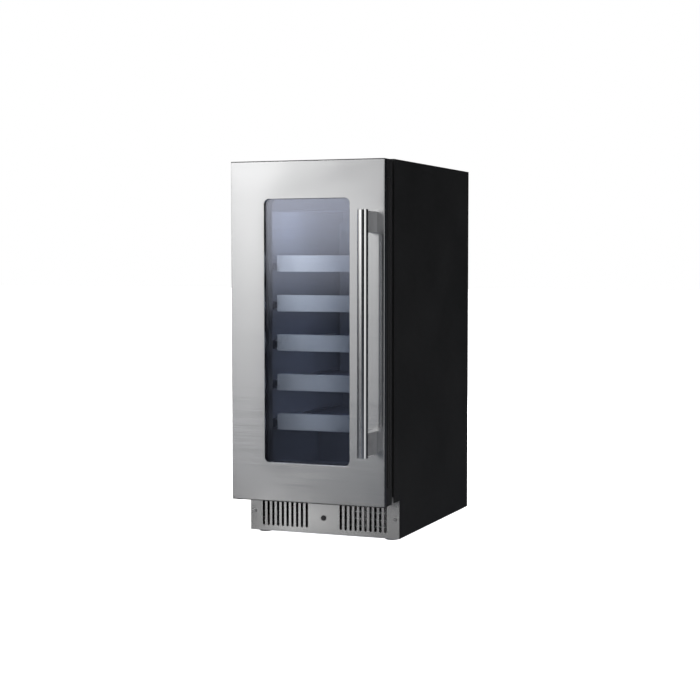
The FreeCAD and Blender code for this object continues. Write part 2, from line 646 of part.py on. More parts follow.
def control_housing():
    """The fascia under the ceiling: a front, a bottom and two ends, open to the back."""
    half, back = INTERIOR_HALF - 0.2, FASCIA + 70.0
    bottom, top = 758.0, INTERIOR_CEILING - 0.2
    w = FASCIA_WALL
    shell = box(-half, half, FASCIA, back, bottom, top)
    shell = round_edges(shell, 3.0, lambda e: runs_along(e, V(1, 0, 0)) and e.CenterOfMass.z < bottom + 1
                        and e.CenterOfMass.y < FASCIA + 1)
    hollow = box(-half + w, half - w, FASCIA + w, back + CUT, bottom + w, top + CUT)
    window = box(-34.2, 34.2, FASCIA - CUT, FASCIA + w + CUT, BUTTON_Z - 9.2, BUTTON_Z + 9.2)
    holes = [cyl_y(x, FASCIA - CUT, FASCIA + w + CUT, BUTTON_Z, BUTTON_R + 0.3) for x in BUTTONS.values()]
    return shell.cut([hollow, window] + holes)


def control_display():
    """The display window on its circuit board."""
    board = box(-40.0, 110.0, BOARD_FRONT, BOARD_FRONT + 1.6, BUTTON_Z - 11, BUTTON_Z + 11)
    window = box(-34.0, 34.0, FASCIA, BOARD_FRONT, BUTTON_Z - 9, BUTTON_Z + 9)
    return board.fuse(window)


def button(x):
    """A round key cap with the collar that keeps it in the fascia, and its plunger."""
    collar_y = FASCIA + FASCIA_WALL + 0.3
    cap = cyl_y(x, FASCIA - 2, collar_y, BUTTON_Z, BUTTON_R)
    collar = cyl_y(x, collar_y, collar_y + 1.5, BUTTON_Z, BUTTON_R + 1.5)
    plunger = cyl_y(x, collar_y + 1.5, BOARD_FRONT - 2.5, BUTTON_Z, 2.0)
    return cap.fuse([collar, plunger])


# ---- shelves --------------------------------------------------------------------------------
def slide_members():
    """The fixed channels on both walls of the liner, open towards the middle."""
    sheet = 1.4
    open_x = 127.0
    front = TRIM_BACK - 8
    channels = []
    for k in range(SHELF_COUNT):
        z = SHELF_FIRST + SHELF_PITCH * k + SLIDE_MID
        channel = box(open_x, INTERIOR_HALF, front, SLIDE_BACK, z - CHANNEL_HALF, z + CHANNEL_HALF)
        inside = box(open_x - CUT, INTERIOR_HALF - sheet, front - CUT, SLIDE_BACK + CUT,
                     z - CHANNEL_HALF + sheet, z + CHANNEL_HALF - sheet)
        channel = channel.cut(inside)
        channels += [channel, mirrored(channel)]
    return channels


def shelf_trim(bottom):
    """The satin metal front of a shelf, with softly rounded edges."""
    bar = box(-TRIM_HALF, TRIM_HALF, TRIM_FRONT, TRIM_BACK, bottom, bottom + TRIM_HEIGHT)
    return round_edges(bar, 2.0, lambda e: e.CenterOfMass.y < TRIM_FRONT + 1)


def shelf_rack(bottom):
    """Lengthwise wires on cross rods, a front strap, and the two running members of the slides."""
    z = bottom + SLIDE_MID
    wire_r, rod_r = 2.0, 3.0
    wires, wire_pitch = 13, 18.0
    runner_in, runner_out, runner_half = 125.5, 135.5, 7.5
    back = SLIDE_BACK - 4
    strap = box(-TRIM_HALF + 1, TRIM_HALF - 1, TRIM_BACK, TRIM_BACK + 2, bottom + 4, bottom + 34)
    runner = box(runner_in, runner_out, TRIM_BACK, back, z - runner_half, z + runner_half)
    rods = [cyl_x(-runner_in - 2, runner_in + 2, y, z, rod_r) for y in (-140.0, -23.0, 94.0, 210.0)]
    lengths = [cyl_y(wire_pitch * (k - (wires - 1) / 2), TRIM_BACK + 1, back, z + wire_r + rod_r - 0.5,
                     wire_r) for k in range(wires)]
    return strap.fuse([runner, mirrored(runner)] + rods + lengths)


# ---- door -----------------------------------------------------------------------------------
def window_cut(y0, y1, grow=0.0, radius=WINDOW_RADIUS):
    return plate_y(WINDOW_HALF + grow, y0, y1, WINDOW_BOTTOM - grow, WINDOW_TOP + grow, radius)


def is_window_rim(edge):
    """Is it one of the edges round the window, on the door's face?"""
    middle = edge.CenterOfMass
    return (abs(middle.y - FACE) < 0.01 and abs(middle.x) < WINDOW_HALF + 1
            and WINDOW_BOTTOM - 1 < middle.z < WINDOW_TOP + 1)


def door_skin():
    """The brushed stainless front: a channel whose edges wrap round the door's sides. It turns in
    round the window with a softly rounded edge."""
    z0, z1 = DOOR_BOTTOM + CAP_LIP, DOOR_TOP - CAP_LIP
    back = FACE + SKIN_RETURN
    skin = box(-HALF, HALF, FACE, back, z0, z1)
    skin = round_edges(skin, 1.5, lambda e: runs_along(e, V(0, 0, 1)) and e.CenterOfMass.y < FACE + 1)
    skin = skin.cut(box(-HALF + SKIN, HALF - SKIN, FACE + SKIN, back + CUT, z0 - CUT, z1 + CUT))
    holes = [cyl_y(BAR_X, FACE - CUT, FACE + 2 * SKIN, z, 3.0) for z in handle_screw_zs()]
    lip = window_cut(FACE, GLASS_FRONT, SKIN, WINDOW_RADIUS + SKIN)
    skin = skin.cut(holes).fuse(lip).cut(window_cut(FACE - CUT, GLASS_FRONT + CUT))
    return round_edges(skin, 0.8, is_window_rim)


def handle_screw_zs():
    spread = 14.0
    return [(z0 + z1) / 2 + s * spread for z0, z1 in BRACKETS for s in (-1, 1)]


def door_frame():
    """The black surround with two grooves down each side, rebated for the glass."""
    # (depth behind the face, how far the side lies inside the frame's widest part)
    profile = [(SKIN, 0.5), (SKIN_RETURN, 0.5), (SKIN_RETURN, 4.0), (27.0, 4.0), (28.0, 0.0), (35.0, 0.0),
               (36.0, 3.0), (40.0, 3.0), (41.0, 0.0), (FRAME_BACK - FACE, 0.0)]
    right = [(FRAME_HALF - inset, FACE + depth) for depth, inset in profile]
    left = [(-x, y) for x, y in reversed(right)]
    ring = prism_z(right + left, DOOR_BOTTOM + CAP, DOOR_TOP - CAP)
    clear = 0.3
    mouth = window_cut(FACE, GLASS_FRONT, SKIN + clear, WINDOW_RADIUS + SKIN)
    rebate = window_cut(GLASS_FRONT, GLASS_BACK, GLASS_MARGIN + clear, GLASS_CORNER)
    window = window_cut(GLASS_BACK - CUT, FRAME_BACK + CUT, clear)
    pockets = [cyl_y(BAR_X, FACE, FACE + 16, z, 6.5) for z in handle_screw_zs()]
    return ring.cut([mouth, rebate, window] + pockets)


def hinge_pocket():
    """The corner of the door that the upper hinge plate sweeps through."""
    return box(-HALF - CUT, -157.0, FACE + 7, DOOR_BACK + CUT, HINGE_RECESS, DOOR_TOP + CUT)


def end_cap(z0, z1, lip_z0, bush_z0):
    """One end of the door's frame, without grooves, with its lip over the skin's edge."""
    wrap = FACE + SKIN_RETURN
    inside = box(-HALF + SKIN, HALF - SKIN, FACE + SKIN, wrap, z0, z1)
    outside = box(-FRAME_HALF, FRAME_HALF, wrap, FRAME_BACK, z0, z1)
    lip = box(-HALF, HALF, FACE, wrap, lip_z0, lip_z0 + CAP_LIP)
    pocket = cyl_z(HINGE_X, HINGE_Y, bush_z0 - CUT, bush_z0 + BUSH_H, BUSH_R)
    return inside.fuse([outside, lip]).cut(pocket)


def door_end_caps():
    lower = end_cap(DOOR_BOTTOM, DOOR_BOTTOM + CAP, DOOR_BOTTOM, DOOR_BOTTOM)
    upper = end_cap(DOOR_TOP - CAP, DOOR_TOP, DOOR_TOP - CAP_LIP, HINGE_RECESS - BUSH_H)
    upper = upper.cut([hinge_pocket(), cyl_z(HINGE_X, HINGE_Y, HINGE_RECESS - CUT, DOOR_TOP + CUT, BUSH_R)])
    return [lower, upper.Solids[0]]


def hinge_bushes():
    bushes = []
    for z in (DOOR_BOTTOM, HINGE_RECESS - BUSH_H):
        ring = cyl_z(HINGE_X, HINGE_Y, z, z + BUSH_H, BUSH_R)
        bushes.append(ring.cut(cyl_z(HINGE_X, HINGE_Y, z - CUT, z + BUSH_H + CUT, PIN_R + RUNNING)))
    return bushes


def pane(front):
    return window_cut(front, front + GLASS_T, GLASS_MARGIN, GLASS_CORNER)


def outer_glass():
    return pane(GLASS_FRONT)


def inner_glass():
    return pane(GLASS_FRONT + GLASS_T + GLASS_GAP)


def glass_spacer():
    inside, outside = 0.5, 8.0
    front = GLASS_FRONT + GLASS_T
    ring = window_cut(front, front + GLASS_GAP, outside, GLASS_CORNER)
    return ring.cut(window_cut(front - CUT, front + GLASS_GAP + CUT, inside))


def door_liner():
    """The panel on the door's back, with the hook at its foot that the lock's cam holds."""
    flare = 7.5
    hook_half, hook_back = 12.0, LOCK_ARM_Y + 12.0
    panel = box(-FRAME_HALF, FRAME_HALF, FRAME_BACK, DOOR_BACK, DOOR_BOTTOM, DOOR_TOP)
    panel = panel.cut([window_cut(FRAME_BACK - CUT, DOOR_BACK + CUT, flare), hinge_pocket()])
    hook = box(-hook_half, hook_half, DOOR_BACK, hook_back, HOOK_BOTTOM, HOOK_TOP)
    catch = box(-5.2, hook_half + CUT, LOCK_ARM_Y - 1.8, LOCK_ARM_Y + LOCK_ARM_T + 1.8,
                HOOK_BOTTOM - CUT, HOOK_TOP + CUT)
    return panel.fuse(hook.cut(catch))


def door_gasket():
    """A magnetic gasket: a foot on the door, a narrow waist, and a head against the cabinet."""
    outer_x, outer_low, outer_high = 172.0, 109.0, 857.0
    width = 12.0
    gap = 0.2

    def ring(inset, y0, y1):
        x, z0, z1 = outer_x - inset, outer_low + inset, outer_high - inset
        hole = width - 2 * inset
        return box(-x, x, y0, y1, z0, z1).cut(box(-x + hole, x - hole, y0 - CUT, y1 + CUT,
                                                  z0 + hole, z1 - hole))

    return ring(0, DOOR_BACK, DOOR_BACK + 3).fuse(
        [ring(3.0, DOOR_BACK + 3, DOOR_BACK + 7), ring(0, DOOR_BACK + 7, CAB_FRONT - gap)])


def handle_bar():
    bar = cyl_z(BAR_X, BAR_Y, BAR_BOTTOM, BAR_TOP, BAR_R)
    return round_edges(bar, 1.0, lambda e: e.Closed)


def handle_brackets():
    """Two stand-offs that hold the bar in a saddle, and are tapped for the screws."""
    brackets = []
    for z0, z1 in BRACKETS:
        block = box(BAR_X - BRACKET_HALF, BAR_X + BRACKET_HALF, BAR_Y, FACE, z0, z1)
        saddle = cyl_z(BAR_X, BAR_Y, z0 - CUT, z1 + CUT, BAR_R)
        tapped = [cyl_y(BAR_X, FACE - 20, FACE + CUT, z, 3.0) for z in handle_screw_zs() if z0 < z < z1]
        brackets.append(block.cut([saddle] + tapped))
    return brackets


def handle_screws():
    head_r, head_h = 5.5, 5.0
    screws = []
    for z in handle_screw_zs():
        shank = cyl_y(BAR_X, FACE - 20, FACE + SKIN, z, 3.0)
        screws.append(shank.fuse(cyl_y(BAR_X, FACE + SKIN, FACE + SKIN + head_h, z, head_r)))
    return screws


# ---- build ----------------------------------------------------------------------------------
NODES = [
    cabinet_wrapper, rear_panel, bottom_deck, base_pan, inner_liner, foam_insulation, rear_cover,
    kick_plate, cabinet_screws, upper_hinge_bracket, lower_hinge_bracket, lock_housing, lock_core,
    compressor_shell, compressor_grommets, electrical_box, condenser_coil, condenser_fan_bracket,
    condenser_fan_motor, condenser_fan_blades, drip_tray, refrigerant_tubes, power_inlet,
    evaporator_plate, evaporator_cover, evaporator_fan_motor, evaporator_fan_blades, light_strip,
    control_housing, control_display, slide_members, door_skin, door_frame, door_end_caps,
    outer_glass, glass_spacer, inner_glass, door_liner, door_gasket, handle_bar, handle_brackets,
    handle_screws, hinge_bushes,
]


def save(name, made):
    """Write one node: a solid, or several solids that make a group."""
    solids = made if isinstance(made, list) else [made]
    for solid in solids:
        if not solid.isValid() or len(solid.Solids) != 1:
            print("check", name, solid.isValid(), len(solid.Solids))
    solids = [solid.Solids[0] for solid in solids]
    shape = solids[0] if len(solids) == 1 else Part.makeCompound(solids)
    shape.translate(V(0, SHIFT, 0))
    shape.exportStep("parts/" + name + ".step")


def main():
    os.makedirs("parts", exist_ok=True)
    for make in NODES:
        save(make.__name__, make())
    for name, x in BUTTONS.items():
        save(name, button(x))
    for side, label in ((-1, "left"), (1, "right")):
        for place, y in FOOT_YS.items():
            save("foot_" + place + "_" + label, foot(side, y))
    for k in range(SHELF_COUNT):
        bottom = SHELF_FIRST + SHELF_PITCH * k
        save("shelf_%d_trim" % (k + 1), shelf_trim(bottom))
        save("shelf_%d_rack" % (k + 1), shelf_rack(bottom))


main()
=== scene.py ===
import json
import math

import bpy
from mathutils import Euler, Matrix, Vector


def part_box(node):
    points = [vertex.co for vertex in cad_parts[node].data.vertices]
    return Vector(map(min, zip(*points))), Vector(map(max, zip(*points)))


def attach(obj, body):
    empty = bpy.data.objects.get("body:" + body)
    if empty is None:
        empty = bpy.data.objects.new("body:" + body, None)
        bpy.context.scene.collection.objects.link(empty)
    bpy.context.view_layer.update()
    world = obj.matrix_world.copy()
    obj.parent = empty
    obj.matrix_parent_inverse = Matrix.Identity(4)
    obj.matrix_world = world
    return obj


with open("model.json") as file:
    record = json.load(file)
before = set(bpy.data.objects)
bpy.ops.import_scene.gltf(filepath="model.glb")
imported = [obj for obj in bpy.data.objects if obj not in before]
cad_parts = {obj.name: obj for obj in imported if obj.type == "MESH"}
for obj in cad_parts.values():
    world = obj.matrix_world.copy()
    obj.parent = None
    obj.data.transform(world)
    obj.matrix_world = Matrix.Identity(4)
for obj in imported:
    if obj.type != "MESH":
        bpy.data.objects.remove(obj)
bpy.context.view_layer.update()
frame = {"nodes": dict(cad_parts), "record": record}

NODES = frame["nodes"]
MM = 0.001


# ---- shader building --------------------------------------------------------------------------
class Shader:
    """One material's node tree, built round its Principled shader."""

    def __init__(self, name, color, metallic=0.0, roughness=0.5):
        self.material = bpy.data.materials.new(name)
        self.material.use_nodes = True
        self.tree = self.material.node_tree
        self.main = next(n for n in self.tree.nodes if n.type == "BSDF_PRINCIPLED")
        self.output = next(n for n in self.tree.nodes if n.type == "OUTPUT_MATERIAL")
        self.set(self.main, **{"Base Color": (*color, 1), "Metallic": metallic, "Roughness": roughness})
        self.height = None

    def node(self, kind, **values):
        made = self.tree.nodes.new(kind)
        self.set(made, **values)
        return made

    def set(self, node, **values):
        for key, value in values.items():
            if key in node.inputs:
                self.feed(node.inputs[key], value)
            else:
                setattr(node, key, value)

    def feed(self, socket, value):
        if isinstance(value, bpy.types.NodeSocket):
            self.tree.links.new(value, socket)
        else:
            socket.default_value = value

    def place(self, stretch=(1, 1, 1)):
        """Coordinates in metres in the row frame, scaled along each axis."""
        where = self.node("ShaderNodeTexCoord")
        mapping = self.node("ShaderNodeMapping", Scale=stretch)
        self.tree.links.new(where.outputs["Object"], mapping.inputs["Vector"])
        return mapping.outputs["Vector"]

    def noise(self, scale, detail=3.0, stretch=(1, 1, 1), rough=0.55):
        made = self.node("ShaderNodeTexNoise", Scale=scale, Detail=detail, Roughness=rough,
                         Vector=self.place(stretch))
        return made.outputs["Fac"]

    def cells(self, scale):
        made = self.node("ShaderNodeTexVoronoi", feature="F1")
        self.set(made, Scale=scale, Vector=self.place())
        return made.outputs

    def ramp(self, value, *stops):
        """Colours or grey levels along a value: stops are (position, colour)."""
        made = self.node("ShaderNodeValToRGB", Fac=value)
        band = made.color_ramp
        while len(band.elements) < len(stops):
            band.elements.new(0.5)
        for element, (position, colour) in zip(band.elements, stops):
            element.position = position
            element.color = (*colour, 1) if isinstance(colour, tuple) else (colour,) * 3 + (1,)
        return made.outputs["Color"]

    def spread(self, value, low, high, start=0.3, end=0.7):
        """A value between start and end taken to low and high."""
        made = self.node("ShaderNodeMapRange", Value=value)
        self.set(made, **{"From Min": start, "From Max": end, "To Min": low, "To Max": high})
        return made.outputs["Result"]

    def math(self, operation, a, b=0.0):
        made = self.node("ShaderNodeMath", operation=operation)
        self.feed(made.inputs[0], a)
        self.feed(made.inputs[1], b)
        return made.outputs[0]

    def grain_level(self, amount):
        """A grain that runs level: it spreads reflections up and down and keeps them sharp sideways."""
        up = self.node("ShaderNodeCombineXYZ", X=0.0, Y=0.0, Z=1.0)
        self.set(self.main, Anisotropic=amount, Tangent=up.outputs["Vector"])

    def bump(self, value, distance, strength=1.0):
        """Adds a relief: a height of the given distance, in metres, on top of any already there."""
        made = self.node("ShaderNodeBump", Height=value, Distance=distance, Strength=strength)
        if self.height is not None:
            self.tree.links.new(self.height, made.inputs["Normal"])
        self.height = made.outputs["Normal"]
        self.tree.links.new(self.height, self.main.inputs["Normal"])


def brushed_steel(name, tone, roughness, grain=(6, 6, 1400), anisotropic=0.0):
    """Steel with a fine grain along the least stretched directions and faint rolling marks."""
    color = (tone, tone, tone)
    s = Shader(name, color, 1.0, roughness)
    fine = s.noise(1.0, 4.0, grain)
    broad = s.noise(7.0, 2.0)
    darker = tuple(c * 0.96 for c in color)
    lighter = tuple(min(1, c * 1.03) for c in color)
    s.set(s.main, **{"Base Color": s.ramp(fine, (0.3, darker), (0.7, lighter))})
    wear = s.math("ADD", s.spread(fine, -0.02, 0.02), s.spread(broad, -0.01, 0.01))
    s.set(s.main, Roughness=s.math("ADD", wear, roughness))
    if anisotropic:
        s.grain_level(anisotropic)
    return s.material


def painted_steel(name, color, roughness, specular=0.5):
    """Powder-coated sheet: a faint orange peel and slightly uneven gloss."""
    s = Shader(name, color, 0.0, roughness)
    s.set(s.main, **{"Specular IOR Level": specular})
    peel_noise = s.noise(900.0, 2.0)
    broad = s.noise(5.0, 3.0)
    lighter = tuple(c * 1.25 for c in color)
    s.set(s.main, **{"Base Color": s.ramp(broad, (0.3, color), (0.75, lighter)),
                     "Roughness": s.spread(broad, roughness - 0.05, roughness + 0.06)})
    s.bump(peel_noise, 0.00004, 0.5)
    return s.material


def moulded_plastic(name, color, roughness, grain=0.00003):
    """Moulded plastic with a fine texture from its tool; grain is its height in metres."""
    s = Shader(name, color, 0.0, roughness)
    texture = s.noise(1600.0, 2.0)
    broad = s.noise(9.0, 2.0)
    lighter = tuple(min(1, c * 1.18) for c in color)
    s.set(s.main, **{"Base Color": s.ramp(broad, (0.3, color), (0.7, lighter)),
                     "Roughness": s.spread(texture, roughness - 0.07, roughness + 0.07)})
    s.bump(texture, grain, 0.6)
    return s.material


def galvanised_sheet(name):
    """Zinc-coated sheet with its spangle."""
    s = Shader(name, (0.56, 0.57, 0.58), 0.55, 0.4)
    value = s.node("ShaderNodeSeparateColor", Color=s.cells(140.0)["Color"])
    dark, pale = (0.46, 0.47, 0.49), (0.66, 0.67, 0.68)
    s.set(s.main, **{"Base Color": s.ramp(value.outputs[0], (0.0, dark), (1.0, pale)),
                     "Roughness": s.spread(value.outputs[1], 0.3, 0.5, 0.0, 1.0)})
    s.bump(s.noise(220.0, 3.0), 0.00003, 0.4)
    return s.material


def polished_steel(name, tone, roughness):
    """Polished bar stock: nearly a mirror, with fine hairlines round it."""
    s = Shader(name, (tone, tone, tone * 1.01), 1.0, roughness)
    hair = s.noise(1.0, 3.0, (120, 120, 3000))
    broad = s.noise(12.0, 2.0)
    low, high = (tone * 0.97,) * 3, (min(1, tone * 1.02),) * 3
    s.set(s.main, **{"Base Color": s.ramp(broad, (0.3, low), (0.7, high)),
                     "Roughness": s.spread(hair, roughness * 0.85, roughness * 1.15)})
    s.grain_level(1.0)
    return s.material


def cast_metal(name, color, roughness, metallic=1.0):
    """Plain or plated metal with a fine grain and slightly uneven tone."""
    s = Shader(name, color, metallic, roughness)
    grain = s.noise(420.0, 3.0)
    dark = tuple(c * 0.85 for c in color)
    s.set(s.main, **{"Base Color": s.ramp(s.noise(30.0, 3.0), (0.3, dark), (0.7, color)),
                     "Roughness": s.spread(grain, roughness - 0.08, roughness + 0.1)})
    s.bump(grain, 0.00002, 0.4)
    return s.material


def trim_metal(name):
    """Satin anodised metal with a cool cast, brushed along its length."""
    color = (0.60, 0.62, 0.645)
    s = Shader(name, color, 0.45, 0.42)
    s.grain_level(0.6)
    fine = s.noise(1.0, 4.0, (8, 500, 1500))
    s.set(s.main, **{"Base Color": s.ramp(fine, (0.3, (0.57, 0.59, 0.615)), (0.7, (0.63, 0.65, 0.675))),
                     "Roughness": s.spread(fine, 0.36, 0.46)})
    s.bump(fine, 0.000012, 0.4)
    return s.material


def rubber(name):
    """Matt black rubber with a faint bloom."""
    color = (0.012, 0.012, 0.012)
    s = Shader(name, color, 0.0, 0.7)
    fine = s.noise(1100.0, 3.0)
    lighter = tuple(c * 1.6 for c in color)
    s.set(s.main, **{"Base Color": s.ramp(s.noise(25.0, 3.0), (0.3, color), (0.7, lighter)),
                     "Roughness": s.spread(fine, 0.6, 0.82)})
    s.bump(fine, 0.00004, 0.5)
    return s.material


def coated_glass(name, tint, mirror, edge_mirror):
    """A pane: it passes tinted light, and mirrors a share of it that grows at a low angle."""
    s = Shader(name, tint, 0.0, 0.02)
    s.tree.nodes.remove(s.main)
    streaks = s.noise(3.0, 3.0, (1, 1, 0.6))
    clear = s.node("ShaderNodeBsdfTransparent", Color=s.ramp(streaks, (0.3, tuple(c * 0.985 for c in tint)),
                                                             (0.7, tint)))
    shine = s.node("ShaderNodeBsdfGlossy", Color=(0.86, 0.88, 1.0, 1), Roughness=0.015)
    facing = s.node("ShaderNodeLayerWeight", Blend=0.35)
    share = s.node("ShaderNodeMapRange", Value=facing.outputs["Fresnel"])
    s.set(share, **{"From Min": 0.05, "From Max": 1.0, "To Min": mirror, "To Max": edge_mirror})
    mix = s.node("ShaderNodeMixShader")
    s.tree.links.new(share.outputs["Result"], mix.inputs[0])
    s.tree.links.new(clear.outputs[0], mix.inputs[1])
    s.tree.links.new(shine.outputs[0], mix.inputs[2])
    s.tree.links.new(mix.outputs[0], s.output.inputs["Surface"])
    return s.material


def foam(name):
    """Cut polyurethane foam with its open cells."""
    s = Shader(name, (0.78, 0.70, 0.46), 0.0, 0.9)
    holes = s.cells(700.0)["Distance"]
    # the pits of the cells are painted darker than their walls: painted shade in the hollows, on top of
    # their bump
    s.set(s.main, **{"Base Color": s.ramp(holes, (0.0, (0.62, 0.53, 0.32)), (0.6, (0.82, 0.74, 0.5)))})
    s.bump(holes, 0.0004, 0.7)
    return s.material


def lens(name):
    """A frosted light cover with fine ribs across it."""
    s = Shader(name, (0.86, 0.89, 0.93), 0.0, 0.35)
    ribs = s.node("ShaderNodeTexWave", Vector=s.place((900, 1, 1)))
    s.set(ribs, Scale=1.0)
    # the grooves between the ribs are painted darker than the crests: painted shade in the grooves, on top
    # of the ribs' bump
    groove_shaded, crest = (0.8, 0.84, 0.9), (0.92, 0.94, 0.96)
    s.set(s.main, **{"Base Color": s.ramp(ribs.outputs["Fac"], (0.0, groove_shaded), (1.0, crest))})
    s.bump(ribs.outputs["Fac"], 0.0002, 0.5)
    return s.material


MATERIALS = {
    "stainless": brushed_steel("stainless_front", 0.60, 0.178, anisotropic=1.0),
    "cabinet_black": painted_steel("cabinet_black_paint", (0.0066, 0.0066, 0.0069), 0.42, specular=0.31),
    "door_black": moulded_plastic("door_black_plastic", (0.009, 0.009, 0.0095), 0.38),
    "handle_steel": polished_steel("handle_polished", 0.64, 0.14),
    "trim_metal": trim_metal("shelf_trim_satin"),
    "galvanised_sheet": galvanised_sheet("galvanised_spangle"),
    "liner_plastic": moulded_plastic("liner_black_plastic", (0.045, 0.046, 0.05), 0.4),
    "foam": foam("insulation_foam"),
    "zinc_screw": cast_metal("zinc_plated", (0.55, 0.55, 0.56), 0.3),
    "hinge_steel": painted_steel("hinge_black_paint", (0.012, 0.012, 0.012), 0.4),
    "lock_chrome": cast_metal("lock_black_nickel", (0.035, 0.035, 0.038), 0.3, 0.5),
    "compressor_paint": painted_steel("compressor_black_paint", (0.01, 0.01, 0.01), 0.3),
    "grommet_rubber": rubber("grommet_rubber"),
    "fin_aluminium": cast_metal("fin_aluminium", (0.72, 0.73, 0.75), 0.35),
    "copper_tube": cast_metal("copper_tube", (0.70, 0.34, 0.20), 0.3),
    "fan_plastic": moulded_plastic("fan_black_plastic", (0.02, 0.02, 0.021), 0.5),
    "motor_case": cast_metal("motor_case", (0.25, 0.25, 0.26), 0.45),
    "tray_plastic": moulded_plastic("tray_grey_plastic", (0.12, 0.12, 0.12), 0.5),
    "cover_plastic": moulded_plastic("cover_grey_plastic", (0.05, 0.052, 0.056), 0.45),
    "light_lens": lens("light_lens"),
    "control_plastic": moulded_plastic("control_black_plastic", (0.012, 0.012, 0.014), 0.3),
    "display_window": moulded_plastic("display_window", (0.004, 0.004, 0.006), 0.1, 0.000002),
    "button_plastic": moulded_plastic("button_grey_plastic", (0.10, 0.10, 0.105), 0.45),
    "slide_steel": brushed_steel("slide_steel", 0.55, 0.35, (1400, 6, 900)),
    "rack_wire": painted_steel("rack_black_vinyl", (0.02, 0.02, 0.023), 0.35),
    "door_glass": coated_glass("door_glass_coated", (0.82, 0.84, 0.87), 0.125, 0.9),
    "gasket_rubber": rubber("gasket_rubber"),
    "bush_nylon": moulded_plastic("bush_nylon", (0.75, 0.75, 0.7), 0.5),
    "foot_plastic": moulded_plastic("foot_black_plastic", (0.02, 0.02, 0.02), 0.55),
}
SLOT_OF = {part["node"]: part["material_slot"] for part in frame["record"]["subparts"]}
# the handle's brackets are satin, while the bar that shares their slot is polished
BRACKET_FINISH = cast_metal("bracket_satin", (0.60, 0.60, 0.61), 0.42, 0.9)


# ---- the carried-over nodes --------------------------------------------------------------------
WELD_GAP = 0.005 * MM       # vertices nearer than this are one
FLAT_WITHIN = math.radians(0.5)
ROUND_ABOVE = math.radians(35)
SPLIT_ABOVE = math.radians(28)


def finish_node(name, material, edge):
    """Gives a CAD node its material and smooth curves, and rounds its edges by edge, if that isn't 0."""
    node = NODES[name]
    node.data.materials.clear()
    node.data.materials.append(material)
    node.data.polygons.foreach_set("use_smooth", [True] * len(node.data.polygons))
    weld = node.modifiers.new("weld", "WELD")
    weld.merge_threshold = WELD_GAP
    if edge:
        flat = node.modifiers.new("flat", "DECIMATE")
        flat.decimate_type = "DISSOLVE"
        flat.angle_limit = FLAT_WITHIN
        bevel = node.modifiers.new("edge", "BEVEL")
        bevel.width = edge
        bevel.segments = 2
        bevel.limit_method = "ANGLE"
        bevel.angle_limit = ROUND_ABOVE
        bevel.use_clamp_overlap = False
        normals = node.modifiers.new("normals", "WEIGHTED_NORMAL")
        normals.keep_sharp = True
    else:
        split = node.modifiers.new("split", "EDGE_SPLIT")
        split.split_angle = SPLIT_ABOVE
        split.use_edge_sharp = False


# how far the edges of these pieces are rounded, in mm
EDGES = {
    "cabinet_wrapper": 0.25, "rear_cover": 0.25, "kick_plate": 0.25,
    "door_end_caps": 0.6, "door_frame": 0.4, "control_housing": 0.6, "electrical_box": 0.8,
    "light_strip": 0.4, "power_inlet": 0.4, "evaporator_cover": 0.5,
    "upper_hinge_bracket": 0.5, "lower_hinge_bracket": 0.5,
    "drip_tray": 0.4, "glass_spacer": 0.2, "door_liner": 0.5,
}
EDGES.update({"shelf_%d_trim" % number: 0.5 for number in range(1, 6)})
EDGES.update({button: 0.3 for button in ("button_power", "button_warmer", "button_cooler")})

for name in NODES:
    finish_node(name, MATERIALS[SLOT_OF[name]], EDGES.get(name, 0) * MM)
NODES["handle_brackets"].data.materials[0] = BRACKET_FINISH


# ---- pieces made here --------------------------------------------------------------------------
SHEET = 1.2 * MM            # the cabinet's steel


def make_toe_tongues():
    """The side walls run on in front of the kick plate, down to the level of the door's bottom."""
    wrapper_low, wrapper_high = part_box("cabinet_wrapper")
    plate_low, plate_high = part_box("kick_plate")
    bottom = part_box("door_skin")[0].z
    for side, outer in ((-1, wrapper_low.x), (1, wrapper_high.x)):
        xs = sorted((outer, outer - side * SHEET))
        ys = (wrapper_low.y, plate_low.y)
        zs = (bottom, plate_high.z)
        corners = [(x, y, z) for x in xs for y in ys for z in zs]
        faces = [(0, 1, 3, 2), (4, 6, 7, 5), (0, 4, 5, 1), (2, 3, 7, 6), (0, 2, 6, 4), (1, 5, 7, 3)]
        name = "toe_tongue_left" if side < 0 else "toe_tongue_right"
        mesh = bpy.data.meshes.new(name)
        mesh.from_pydata(corners, [], faces)
        tongue = bpy.data.objects.new(name, mesh)
        bpy.context.scene.collection.objects.link(tongue)
        mesh.materials.append(MATERIALS["cabinet_black"])
        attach(tongue, "cabinet")


make_toe_tongues()


# ---- stage, lights and camera ------------------------------------------------------------------
DOOR_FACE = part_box("door_skin")[0].y
FOCAL = 79.58               # of the lens, in mm
SENSOR = 36
CAMERA_AT = Vector((1.3811, DOOR_FACE - 3.2062, 0.6416))
LOOKS_DOWN = 3.29           # degrees
LOOKS_LEFT = 21.69


def make_camera():
    data = bpy.data.cameras.new("camera")
    data.lens = FOCAL
    data.sensor_width = SENSOR
    camera = bpy.data.objects.new("camera", data)
    camera.location = CAMERA_AT
    camera.rotation_euler = Euler((math.radians(90 - LOOKS_DOWN), 0.0, math.radians(LOOKS_LEFT)))
    bpy.context.scene.collection.objects.link(camera)
    bpy.context.scene.camera = camera


def make_floor():
    """A large pale floor. Mirrors don't see it, as it fades out of a studio's sweep."""
    size = 30.0
    mesh = bpy.data.meshes.new("floor")
    mesh.from_pydata([(x, y, 0) for x, y in ((-size, -size), (size, -size), (size, size), (-size, size))],
                     [], [(0, 1, 2, 3)])
    floor = bpy.data.objects.new("floor", mesh)
    bpy.context.scene.collection.objects.link(floor)
    s = Shader("floor_pale", (0.86, 0.86, 0.86), 0.0, 0.9)
    s.set(s.main, **{"Base Color": s.ramp(s.noise(2.0), (0.3, 0.85), (0.7, 0.87)),
                     "Emission Color": (1, 1, 1, 1), "Emission Strength": 0.94})
    mesh.materials.append(s.material)
    floor.visible_glossy = False


